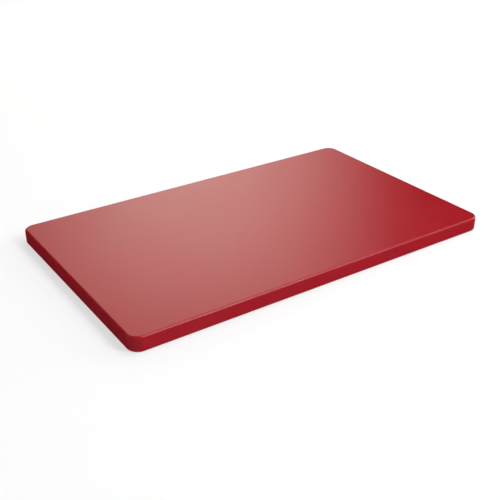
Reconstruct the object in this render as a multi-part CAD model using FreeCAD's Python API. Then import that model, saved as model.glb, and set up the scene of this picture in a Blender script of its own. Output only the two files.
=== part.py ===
"""Reversible kitchen cutting board: one solid slab of high-density polyethylene.

The slab has a Gastronorm 1/1 outline. Its four upright corners are rounded, and so is the
rim round both faces, so either face can be the worktop. Units are millimetres. The origin is
the centre of the lower face, X runs along the length, Y across the width and Z up.
"""

import FreeCAD
import Part

import os

LENGTH = 530.0
WIDTH = 325.0
THICKNESS = 20.0
CORNER_RADIUS = 15.0
RIM_RADIUS = 3.0

TOLERANCE = 1e-6
PARTS_FOLDER = "parts"


def stands_upright(edge):
    """True for an edge that runs from the lower face to the upper one."""
    return edge.BoundBox.ZLength > THICKNESS - TOLERANCE


def lies_at(edge, height):
    """True for an edge whose every point is at this height."""
    return max(abs(edge.BoundBox.ZMin - height), abs(edge.BoundBox.ZMax - height)) < TOLERANCE


def blank():
    """The sawn slab, centred on the origin, with sharp corners and edges."""
    corner = FreeCAD.Vector(-LENGTH / 2, -WIDTH / 2, 0)
    return Part.makeBox(LENGTH, WIDTH, THICKNESS, corner)


def round_corners(slab):
    """Rounds the four upright corners."""
    corners = [edge for edge in slab.Edges if stands_upright(edge)]
    return slab.makeFillet(CORNER_RADIUS, corners)


def round_rims(slab):
    """Rounds the edge that runs round the lower face and the one round the upper face."""
    rims = [edge for edge in slab.Edges if lies_at(edge, 0) or lies_at(edge, THICKNESS)]
    return slab.makeFillet(RIM_RADIUS, rims)


def make_board():
    """The finished board: the corners are rounded first, so that each rim is one smooth loop."""
    return round_rims(round_corners(blank()))


def main():
    os.makedirs(PARTS_FOLDER, exist_ok=True)
    board = make_board()
    board.exportStep(f"{PARTS_FOLDER}/board.step")
    print(f"board: valid {board.isValid()}, solids {len(board.Solids)}, volume {board.Volume:.0f} mm3")


main()
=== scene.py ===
"""Looks for the cutting board: a slab of red polyethylene on a pale studio floor.

The board is rebuilt as a clean quad mesh on the frame's own box. Its two flat faces are pressed
and very slightly uneven. Its sides and rims are routed, so they carry faint cutter marks.
Lengths are in metres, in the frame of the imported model.
"""

import math

import bpy
import numpy as np
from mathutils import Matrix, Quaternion, Vector, noise


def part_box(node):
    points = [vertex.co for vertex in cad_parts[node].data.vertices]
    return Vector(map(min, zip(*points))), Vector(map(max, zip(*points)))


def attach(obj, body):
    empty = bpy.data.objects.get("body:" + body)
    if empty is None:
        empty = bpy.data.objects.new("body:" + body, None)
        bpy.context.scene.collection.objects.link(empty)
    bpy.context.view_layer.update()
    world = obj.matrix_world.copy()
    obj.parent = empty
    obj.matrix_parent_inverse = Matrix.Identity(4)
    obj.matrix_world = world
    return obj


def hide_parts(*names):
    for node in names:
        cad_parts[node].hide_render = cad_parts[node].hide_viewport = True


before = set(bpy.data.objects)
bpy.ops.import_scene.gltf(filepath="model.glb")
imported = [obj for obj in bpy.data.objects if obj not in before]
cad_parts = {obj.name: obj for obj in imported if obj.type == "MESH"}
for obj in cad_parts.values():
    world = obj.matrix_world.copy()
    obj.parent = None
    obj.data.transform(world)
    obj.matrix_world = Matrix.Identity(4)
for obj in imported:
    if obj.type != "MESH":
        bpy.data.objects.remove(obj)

MM = 0.001

# The board. Its length, width and thickness come from the frame.
CORNER_RADIUS = 15 * MM
RIM_RADIUS = 3 * MM
HALF_CORNER_STEPS = 12     # mesh steps in half of an upright corner
RIM_STEPS = 10             # mesh steps from a flat face round to the side
SIDE_STEPS = 6             # mesh steps down the flat part of the side
SKIRT_STEPS = 3            # mesh steps from the flat face's grid out to the rim
GRID_STEP = 5 * MM         # mesh step on the flat faces and along the sides
GRID_INSET = 9 * MM        # from the side of the board in to the grid's edge
DIP_DEPTH = 0.03 * MM      # how far the pressed faces dip
DIP_WIDTH = 110 * MM
DIP_FADE = 30 * MM         # the dips fade out over this distance from the side
FLAT = 0.9999              # a normal that points up or down at least this much is a flat face's
MARKS = ("run", "across", "routed", "rim")  # the mesh's own values, see machining_marks

# The plastic. Sizes are those of the marks, and depths are heights in the bump.
DEEP_RED = (0.24, 0.0006, 0.006)
RED = (0.285, 0.0008, 0.008)
SCUFFED_RED = (0.42, 0.013, 0.022)
ROUGHNESS = 0.315
SMOOTHEST = 0.28           # no mark makes the plastic glossier than this
SPECULAR = 0.33
CLOUD_SIZE = 70 * MM       # slow change of colour and gloss
MOTTLE_SIZE = 9 * MM
GRAIN_SIZE = 0.8 * MM      # the pressed faces' fine grain
GRAIN_DEPTH = 0.004 * MM
PIT_SIZE = 2.2 * MM        # small shallow pits in the pressed faces
PIT_DEPTH = 0.003 * MM
PIT_EDGE = (0.05, 0.35)    # from a pit's middle to where it rises and to its rim, in pit sizes
CUTTER_PITCH = 1.4 * MM    # marks that the router leaves across the side
CUTTER_DEPTH = 0.003 * MM
CUTTER_DRIFT = 15 * MM     # the marks' spacing wanders over this distance
CUTTER_WANDER = 1.5        # by this many radians of their wave
DRAG_LENGTH = 30 * MM      # lines that the router drags along the side
DRAG_WIDTH = 0.5 * MM
DRAG_DEPTH = 0.003 * MM
SCUFF_SIZE = 18 * MM       # patches of wear along the rims
SCUFF_EDGE = (0.1, 1.2)    # noise at a patch's edge and where it is fully worn
SCRATCH_LENGTH = 90 * MM
SCRATCH_WIDTH = 0.9 * MM
SCRATCH_DEPTH = 0.003 * MM
SCRATCH_EDGE = (1.1, 1.5)  # noise at a scratch's edge and along its middle
SCRATCH_ANGLES = (12, 74, 141)  # degrees, one layer of hairline scratches each

# The camera, at the photograph's viewing angle. Angles are in degrees, and the lens and the
# sensor in millimetres.
CAMERA_TARGET = Vector((-29.1 * MM, -34.7 * MM, 0))
CAMERA_AZIMUTH = -33.88
CAMERA_ELEVATION = 28.06
CAMERA_ROLL = -0.35
CAMERA_DISTANCE = 1.0654
LENS = 58.29
SENSOR = 36.0

# The studio. Angles are in degrees. A light's azimuth is where it stands, counted as for the
# camera.
BACKDROP_PAINT = 0.32      # how much light the paint throws back
BACKDROP_GLOW = 0.6        # how much light it gives off
BACKDROP_STEPS = 64        # mesh steps round the backdrop
FLOOR_RADIUS = 5.0
SWEEP_RADIUS = 2.5         # the curve from the floor up to the wall
SWEEP_STEPS = 12
WALL_TOP = 5.0
CEILING_GREY = 0.01
TOP_LIGHT_STRENGTH = 0.5
TOP_LIGHT_WIDTH = 80.0
WHITE = (1, 1, 1)
WARM = (1, 0.99, 0.88)
# The three warm softboxes that the upper face mirrors, each in front of the one before, so that
# their glow falls off in steps: azimuth, elevation, distance, degrees wide, degrees high, radiance.
BACK_SOFTBOXES = (
    (154.5, 30, 2.0, 40, 29, 1.25),
    (153.5, 27, 1.95, 28, 24, 1.1),
    (153.5, 24, 1.9, 16, 19, 0.95),
)
# The white softboxes: azimuth, elevation, distance, width, height, radiance.
WHITE_SOFTBOXES = {
    "side": (78, 15, 3.6, 2.1, 1.7, 6.5),       # lights the near long side
    "rim": (31, 41, 3.0, 0.58, 1.5, 21.0),      # makes the bright line along its upper rim
    "overhead": (93, 65, 3.0, 2.0, 1.5, 3.3),
}


def direction(azimuth, elevation):
    """Unit vector from the board towards this azimuth and elevation, given in degrees."""
    a, e = math.radians(azimuth), math.radians(elevation)
    return Vector((math.sin(a) * math.cos(e), -math.cos(a) * math.cos(e), math.sin(e)))


# ------------------------------------------------------------------ the board's mesh


def grid_lines(half_span):
    """Where the grid's lines cross one axis: close together beside the rounded corners, to meet
    the corners' own steps, and GRID_STEP apart between them."""
    bend = half_span - CORNER_RADIUS
    edge = half_span - GRID_INSET
    middle = np.linspace(-bend, bend, round(2 * bend / GRID_STEP) + 1)
    ends = np.linspace(bend, edge, HALF_CORNER_STEPS + 1)[1:]
    return np.concatenate([-ends[::-1], middle, ends])


def edge_of_grid(columns, rows):
    """(column, row) of each point on the grid's edge, anticlockwise from the lower left."""
    return (
        [(i, 0) for i in range(columns - 1)]
        + [(columns - 1, j) for j in range(rows - 1)]
        + [(i, rows - 1) for i in range(columns - 1, 0, -1)]
        + [(0, j) for j in range(rows - 1, 0, -1)]
    )


def outline_directions(edge, core):
    """Which way the board's outline lies from each point of core: straight out from a side, and
    evenly spread through the quarter turn of a corner."""
    offset = edge - core
    size = np.abs(offset)
    lean = math.pi / 4 * size.min(axis=1) / size.max(axis=1)
    major, minor = np.cos(lean), np.sin(lean)
    along_x = size[:, 0] >= size[:, 1]
    return np.sign(offset) * np.stack(
        [np.where(along_x, major, minor), np.where(along_x, minor, major)], axis=1
    )


def flat_grid(xs, ys, sign, half_z):
    """Points and normals of the upper face's grid, for sign 1, or of the lower face's, for -1."""
    points = np.array([(x, y, sign * half_z) for y in ys for x in xs])
    return points, np.tile([0.0, 0.0, sign], (len(points), 1))


def rings_between(edge, core, outward, half_z):
    """Points and normals of each ring from the upper grid down to the lower one."""

    def ring(inset, z, tilt):
        """The outline moved in by inset, at height z, with normals tilted up by this angle."""
        flat = core + outward * (CORNER_RADIUS - inset)
        points = np.column_stack([flat, np.full(len(flat), z)])
        normals = np.column_stack(
            [outward * math.cos(tilt), np.full(len(flat), math.sin(tilt))]
        )
        return points, normals

    def skirt(share, sign):
        """A flat ring part of the way from the grid's edge, at 0, to the rim, at 1."""
        points, normals = ring(RIM_RADIUS, sign * half_z, sign * math.pi / 2)
        points[:, :2] = edge + (points[:, :2] - edge) * share
        return points, normals

    def rim(sign):
        """The rings of one rim, from its flat face to the side."""
        for k in range(RIM_STEPS + 1):
            tilt = math.pi / 2 * (1 - k / RIM_STEPS)
            inset = RIM_RADIUS * (1 - math.cos(tilt))
            drop = RIM_RADIUS * (1 - math.sin(tilt))
            yield ring(inset, sign * (half_z - drop), sign * tilt)

    flat_side = half_z - RIM_RADIUS
    shares = [k / SKIRT_STEPS for k in range(1, SKIRT_STEPS)]
    side_heights = np.linspace(flat_side, -flat_side, SIDE_STEPS + 1)[1:-1]
    rings = [skirt(share, 1) for share in shares]
    rings += list(rim(1))
    rings += [ring(0, z, 0) for z in side_heights]
    rings += list(rim(-1))[::-1]
    rings += [skirt(share, -1) for share in shares[::-1]]
    return rings


def dip(x, y, half_x, half_y, sign):
    """How far a flat face lies under its plane here: a slow unevenness, none at the rims."""
    inside = min(half_x - abs(x), half_y - abs(y)) - RIM_RADIUS
    fade = min(max(inside / DIP_FADE, 0), 1)
    wave = noise.noise(Vector((x / DIP_WIDTH, y / DIP_WIDTH, sign)))
    return DIP_DEPTH * fade * fade * (3 - 2 * fade) * (0.5 + 0.5 * wave)


def press_dips(points, normals, half_x, half_y):
    """Sinks the flat faces' points by their dips, and leans their normals to match."""
    for k in np.nonzero(np.abs(normals[:, 2]) > FLAT)[0]:
        x, y = points[k, :2]
        sign = normals[k, 2]
        here = dip(x, y, half_x, half_y, sign)
        points[k, 2] -= sign * here
        slope_x = (dip(x + MM, y, half_x, half_y, sign) - here) / MM
        slope_y = (dip(x, y + MM, half_x, half_y, sign) - here) / MM
        normals[k] = Vector((slope_x, slope_y, sign)).normalized()


def grid_faces(columns, rows):
    """The quads of both grids. The lower grid's points follow all those of the upper one."""
    faces = []
    for j in range(rows - 1):
        for i in range(columns - 1):
            first = j * columns + i
            quad = [first, first + 1, first + 1 + columns, first + columns]
            faces.append(quad)
            faces.append([columns * rows + corner for corner in quad[::-1]])
    return faces


def band_faces(chain):
    """The quads between each loop of points in the chain and the loop under it."""
    faces = []
    for upper, lower in zip(chain, chain[1:]):
        for i in range(len(upper)):
            n = (i + 1) % len(upper)
            faces.append([upper[i], lower[i], lower[n], upper[n]])
    return faces


def machining_marks(chain, points, normals, outline):
    """What the shader needs at each corner of each quad of band_faces, in the order of MARKS: how
    far along the outline it is and how far down over the rims and the side, 1 where the router
    has cut, and how deep it is in a rim's curve, from 0 at its ends to 1 in its middle. All are
    0 on the skirts."""
    steps = np.linalg.norm(np.roll(outline, -1, axis=0) - outline, axis=1)
    run = np.concatenate([[0.0], np.cumsum(steps)])
    profile = [loop[0] for loop in chain[SKIRT_STEPS:len(chain) - SKIRT_STEPS]]
    drops = np.linalg.norm(np.diff(points[profile], axis=0), axis=1)
    across = np.concatenate([[0.0], np.cumsum(drops)])
    lift = np.abs(normals[profile, 2])
    rim = 2 * lift * np.sqrt(1 - np.minimum(lift * lift, 1))

    bands, around = len(chain) - 1, len(outline)
    marks = np.zeros((bands, around, 4, len(MARKS)))
    cut = marks[SKIRT_STEPS:bands - SKIRT_STEPS]
    for corner, (ahead, down) in enumerate([(0, 0), (0, 1), (1, 1), (1, 0)]):
        cut[:, :, corner, 0] = run[ahead:ahead + around]
        cut[:, :, corner, 1] = across[down:down + len(cut), None]
        cut[:, :, corner, 2] = 1
        cut[:, :, corner, 3] = rim[down:down + len(cut), None]
    return marks.reshape(-1, len(MARKS))


def board_mesh(low, high):
    """The slab between two corners of its box, all quads: a grid on each flat face, and between
    the two grids a chain of rings round the rims and the side."""
    centre = (low + high) / 2
    half_x, half_y, half_z = (high - low) / 2
    xs, ys = grid_lines(half_x), grid_lines(half_y)
    columns, rows = len(xs), len(ys)
    edge_cells = edge_of_grid(columns, rows)
    edge = np.array([(xs[i], ys[j]) for i, j in edge_cells])
    bend = np.array([half_x - CORNER_RADIUS, half_y - CORNER_RADIUS])
    core = np.clip(edge, -bend, bend)
    outward = outline_directions(edge, core)

    layers = [flat_grid(xs, ys, sign, half_z) for sign in (1, -1)]
    layers += rings_between(edge, core, outward, half_z)
    points, normals = (np.concatenate(values) for values in zip(*layers))
    press_dips(points, normals, half_x, half_y)

    in_grid = columns * rows
    upper_edge = [j * columns + i for i, j in edge_cells]
    lower_edge = [in_grid + corner for corner in upper_edge]
    starts = range(2 * in_grid, len(points), len(edge))
    chain = [upper_edge, *(list(range(start, start + len(edge))) for start in starts), lower_edge]
    on_grids = grid_faces(columns, rows)
    unmarked = np.zeros((4 * len(on_grids), len(MARKS)))
    outline = core + outward * CORNER_RADIUS
    marks = np.concatenate([unmarked, machining_marks(chain, points, normals, outline)])

    mesh = bpy.data.meshes.new("board_slab")
    mesh.from_pydata((points + np.array(centre)).tolist(), [], on_grids + band_faces(chain))
    for name, values in zip(MARKS, marks.T.astype(np.float32)):
        attribute = mesh.attributes.new(name, "FLOAT", "CORNER")
        attribute.data.foreach_set("value", np.ascontiguousarray(values))
    mesh.shade_smooth()
    mesh.normals_split_custom_set_from_vertices(normals.tolist())
    mesh.update()
    return mesh


# ------------------------------------------------------------------------- materials


def new_material(name):
    """An empty node material, its tree, and its output node."""
    material = bpy.data.materials.new(name)
    material.use_nodes = True
    tree = material.node_tree
    tree.nodes.clear()
    return material, tree, tree.nodes.new("ShaderNodeOutputMaterial")


def node(tree, kind, **inputs):
    """A new shader node. An input's name has _ for each space, and its value is a number, a
    colour or another node's output."""
    made = tree.nodes.new("ShaderNode" + kind)
    for name, value in inputs.items():
        feed(tree, made.inputs[name.replace("_", " ")], value)
    return made


def feed(tree, socket, value):
    """Links the socket to value, if that is another node's output, or else sets it to value."""
    if isinstance(value, bpy.types.NodeSocket):
        tree.links.new(value, socket)
    else:
        socket.default_value = value


def calculate(tree, operation, *values):
    """What a math node makes of these numbers or outputs."""
    made = tree.nodes.new("ShaderNodeMath")
    made.operation = operation
    for socket, value in zip(made.inputs, values):
        feed(tree, socket, value)
    return made.outputs["Value"]


def add_up(tree, total, *parts):
    """total plus each part's value times its weight."""
    for value, weight in parts:
        total = calculate(tree, "MULTIPLY_ADD", value, weight, total)
    return total


def smooth_step(tree, value, low, high):
    """0 below low, 1 above high, and a smooth rise between them."""
    step = node(tree, "MapRange", Value=value, From_Min=low, From_Max=high)
    step.interpolation_type = "SMOOTHSTEP"
    return step.outputs["Result"]


def speckle(tree, place, size, detail=0.0):
    """Noise about 0, mostly within -1 and 1, with blotches of this size. The node's own noise is
    about 0.5, mostly within 0.25 and 0.75."""
    noise_node = node(tree, "TexNoise", Vector=place, Scale=1 / size, Detail=detail)
    return calculate(tree, "MULTIPLY_ADD", noise_node.outputs["Fac"], 4.0, -2.0)


def stretched(tree, place, angle, length, width):
    """place turned by this angle in degrees and scaled, for marks of this length and width."""
    mapping = node(tree, "Mapping", Vector=place, Rotation=(0, 0, math.radians(angle)))
    turned = mapping.outputs["Vector"]
    return node(tree, "Mapping", Vector=turned, Scale=(1 / length, 1 / width, 1)).outputs["Vector"]


def mesh_value(tree, name):
    """The number that the board's mesh holds under this name."""
    attribute = tree.nodes.new("ShaderNodeAttribute")
    attribute.attribute_name = name
    return attribute.outputs["Fac"]


def scratches(tree, place):
    """Sparse hairlines: 1 on a line, 0 beside it."""
    lines = 0.0
    for angle in SCRATCH_ANGLES:
        along = stretched(tree, place, angle, SCRATCH_LENGTH, SCRATCH_WIDTH)
        layer = smooth_step(tree, speckle(tree, along, 1.0), *SCRATCH_EDGE)
        lines = calculate(tree, "MAXIMUM", lines, layer)
    return lines


def pits(tree, place):
    """1 in the middle of each small pit, falling to 0 round it."""
    cells = node(tree, "TexVoronoi", Vector=place, Scale=1 / PIT_SIZE)
    outside = smooth_step(tree, cells.outputs["Distance"], *PIT_EDGE)
    return calculate(tree, "SUBTRACT", 1.0, outside)


def polyethylene():
    """Solid-coloured sheet: its faces are pressed with a fine grain, and its sides and rims are
    routed. New, with only faint hairlines and a little scuffing along the rims. The number beside
    each mark is how much of it the colour, the roughness or the height takes."""
    material, tree, output = new_material("red_polyethylene")
    place = node(tree, "TexCoord").outputs["Object"]
    run, across, routed, rim = (mesh_value(tree, name) for name in MARKS)
    pressed = calculate(tree, "SUBTRACT", 1.0, routed)

    clouds = speckle(tree, place, CLOUD_SIZE, 3.0)
    mottle = speckle(tree, place, MOTTLE_SIZE, 2.0)
    grain = calculate(tree, "MULTIPLY", speckle(tree, place, GRAIN_SIZE, 1.0), pressed)
    pitting = calculate(tree, "MULTIPLY", pits(tree, place), pressed)
    hairlines = calculate(tree, "MULTIPLY", scratches(tree, place), pressed)
    scuffing = smooth_step(tree, speckle(tree, place, SCUFF_SIZE, 3.0), *SCUFF_EDGE)
    scuffing = calculate(tree, "MULTIPLY", scuffing, rim)

    drift = speckle(tree, place, CUTTER_DRIFT)
    turn = add_up(tree, 0.0, (run, 2 * math.pi / CUTTER_PITCH), (drift, CUTTER_WANDER))
    cutter = calculate(tree, "MULTIPLY", calculate(tree, "SINE", turn), routed)
    round_and_down = node(tree, "CombineXYZ", X=run, Y=across).outputs["Vector"]
    drag = speckle(tree, stretched(tree, round_and_down, 0, DRAG_LENGTH, DRAG_WIDTH), 1.0, 2.0)
    drag = calculate(tree, "MULTIPLY", drag, routed)

    shade = add_up(
        tree, 0.5, (clouds, 0.06), (mottle, 0.04), (grain, 0.04), (hairlines, 0.10),
        (drag, 0.05), (scuffing, 0.30),
    )
    ramp = node(tree, "ValToRGB", Fac=shade)
    stops = ramp.color_ramp.elements
    stops.new(0.5)
    for stop, colour in zip(stops, (DEEP_RED, RED, SCUFFED_RED)):
        stop.color = (*colour, 1)

    roughness = add_up(
        tree, ROUGHNESS, (clouds, 0.015), (mottle, 0.012), (grain, 0.02), (hairlines, 0.08),
        (routed, 0.04), (drag, 0.03), (scuffing, 0.06),
    )
    roughness = calculate(tree, "MAXIMUM", roughness, SMOOTHEST)
    height = add_up(
        tree, 0.0, (grain, GRAIN_DEPTH), (pitting, -PIT_DEPTH), (hairlines, -SCRATCH_DEPTH),
        (cutter, CUTTER_DEPTH), (drag, DRAG_DEPTH),
    )
    bump = node(tree, "Bump", Height=height, Distance=1.0)

    shader = node(
        tree, "BsdfPrincipled", Base_Color=ramp.outputs["Color"], Roughness=roughness,
        Specular_IOR_Level=SPECULAR, Normal=bump.outputs["Normal"],
    )
    tree.links.new(shader.outputs["BSDF"], output.inputs["Surface"])
    return material


def backdrop_paint():
    """White studio paint: matt, with some light of its own, as a lit table has."""
    material, tree, output = new_material("backdrop_paint")
    shader = node(
        tree, "BsdfPrincipled", Base_Color=(BACKDROP_PAINT, BACKDROP_PAINT, BACKDROP_PAINT, 1),
        Roughness=1, Specular_IOR_Level=0, Emission_Color=(1, 1, 1, 1),
        Emission_Strength=BACKDROP_GLOW,
    )
    tree.links.new(shader.outputs["BSDF"], output.inputs["Surface"])
    return material


# ------------------------------------------------------------------------ the studio


def make_backdrop():
    """A round floor that sweeps up into a wall. It is kept out of reflections, so the board
    mirrors only the lights and the dark ceiling."""
    profile = [(FLOOR_RADIUS, 0.0)]
    for k in range(1, SWEEP_STEPS + 1):
        turn = math.pi / 2 * k / SWEEP_STEPS
        radius = FLOOR_RADIUS + SWEEP_RADIUS * math.sin(turn)
        profile.append((radius, SWEEP_RADIUS * (1 - math.cos(turn))))
    profile.append((FLOOR_RADIUS + SWEEP_RADIUS, WALL_TOP))

    points = []
    for radius, height in profile:
        for k in range(BACKDROP_STEPS):
            turn = 2 * math.pi * k / BACKDROP_STEPS
            points.append((radius * math.cos(turn), radius * math.sin(turn), height))
    faces = [list(range(BACKDROP_STEPS))]
    for first in range(0, len(points) - BACKDROP_STEPS, BACKDROP_STEPS):
        for k in range(BACKDROP_STEPS):
            here, there = first + k, first + (k + 1) % BACKDROP_STEPS
            faces.append([there, here, here + BACKDROP_STEPS, there + BACKDROP_STEPS])

    mesh = bpy.data.meshes.new("backdrop")
    mesh.from_pydata(points, [], faces)
    mesh.shade_smooth()
    mesh.materials.append(backdrop_paint())
    backdrop = bpy.data.objects.new("backdrop", mesh)
    backdrop.visible_glossy = False
    bpy.context.scene.collection.objects.link(backdrop)


def make_ceiling():
    """The dark studio above the backdrop."""
    world = bpy.data.worlds.new("studio")
    bpy.context.scene.world = world
    world.use_nodes = True
    background = world.node_tree.nodes["Background"]
    background.inputs["Color"].default_value = (CEILING_GREY, CEILING_GREY, CEILING_GREY, 1)


def softbox(name, azimuth, elevation, distance, width, height, radiance, tint):
    """A rectangular area light that stands at this angle from the board's middle and faces it.
    Its power is what gives its face this radiance."""
    light = bpy.data.lights.new(name, "AREA")
    light.shape = "RECTANGLE"
    light.size, light.size_y = width, height
    light.energy = math.pi * width * height * radiance
    light.color = tint
    lamp = bpy.data.objects.new(name, light)
    lamp.visible_camera = False
    lamp.location = direction(azimuth, elevation) * distance
    lamp.rotation_mode = "QUATERNION"
    lamp.rotation_quaternion = lamp.location.to_track_quat("Z", "Y")
    bpy.context.scene.collection.objects.link(lamp)


def top_light():
    """A very wide, soft overhead light, even over the whole floor."""
    light = bpy.data.lights.new("top_light", "SUN")
    light.energy = TOP_LIGHT_STRENGTH
    light.angle = math.radians(TOP_LIGHT_WIDTH)
    bpy.context.scene.collection.objects.link(bpy.data.objects.new("top_light", light))


def span(distance, angle):
    """How wide a thing is that fills this angle from this far away."""
    return 2 * distance * math.tan(math.radians(angle / 2))


def make_lights():
    top_light()
    for k, (azimuth, elevation, distance, wide, high, radiance) in enumerate(BACK_SOFTBOXES):
        size = span(distance, wide), span(distance, high)
        softbox(f"back_softbox_{k}", azimuth, elevation, distance, *size, radiance, WARM)
    for name, place_and_size in WHITE_SOFTBOXES.items():
        softbox(f"{name}_softbox", *place_and_size, WHITE)


def make_camera():
    camera = bpy.data.cameras.new("camera")
    camera.lens = LENS
    camera.sensor_width = SENSOR
    back = direction(CAMERA_AZIMUTH, CAMERA_ELEVATION)
    viewer = bpy.data.objects.new("camera", camera)
    viewer.location = CAMERA_TARGET + back * CAMERA_DISTANCE
    viewer.rotation_mode = "QUATERNION"
    roll = Quaternion((0, 0, 1), math.radians(CAMERA_ROLL))
    viewer.rotation_quaternion = back.to_track_quat("Z", "Y") @ roll
    bpy.context.scene.collection.objects.link(viewer)
    bpy.context.scene.camera = viewer


def make_board():
    slab = bpy.data.objects.new("board_slab", board_mesh(*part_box("board")))
    bpy.context.scene.collection.objects.link(slab)
    slab.data.materials.append(polyethylene())
    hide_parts("board")
    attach(slab, "root")


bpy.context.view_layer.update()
make_camera()
make_board()
make_backdrop()
make_ceiling()
make_lights()
bpy.context.scene.view_settings.view_transform = "Standard"
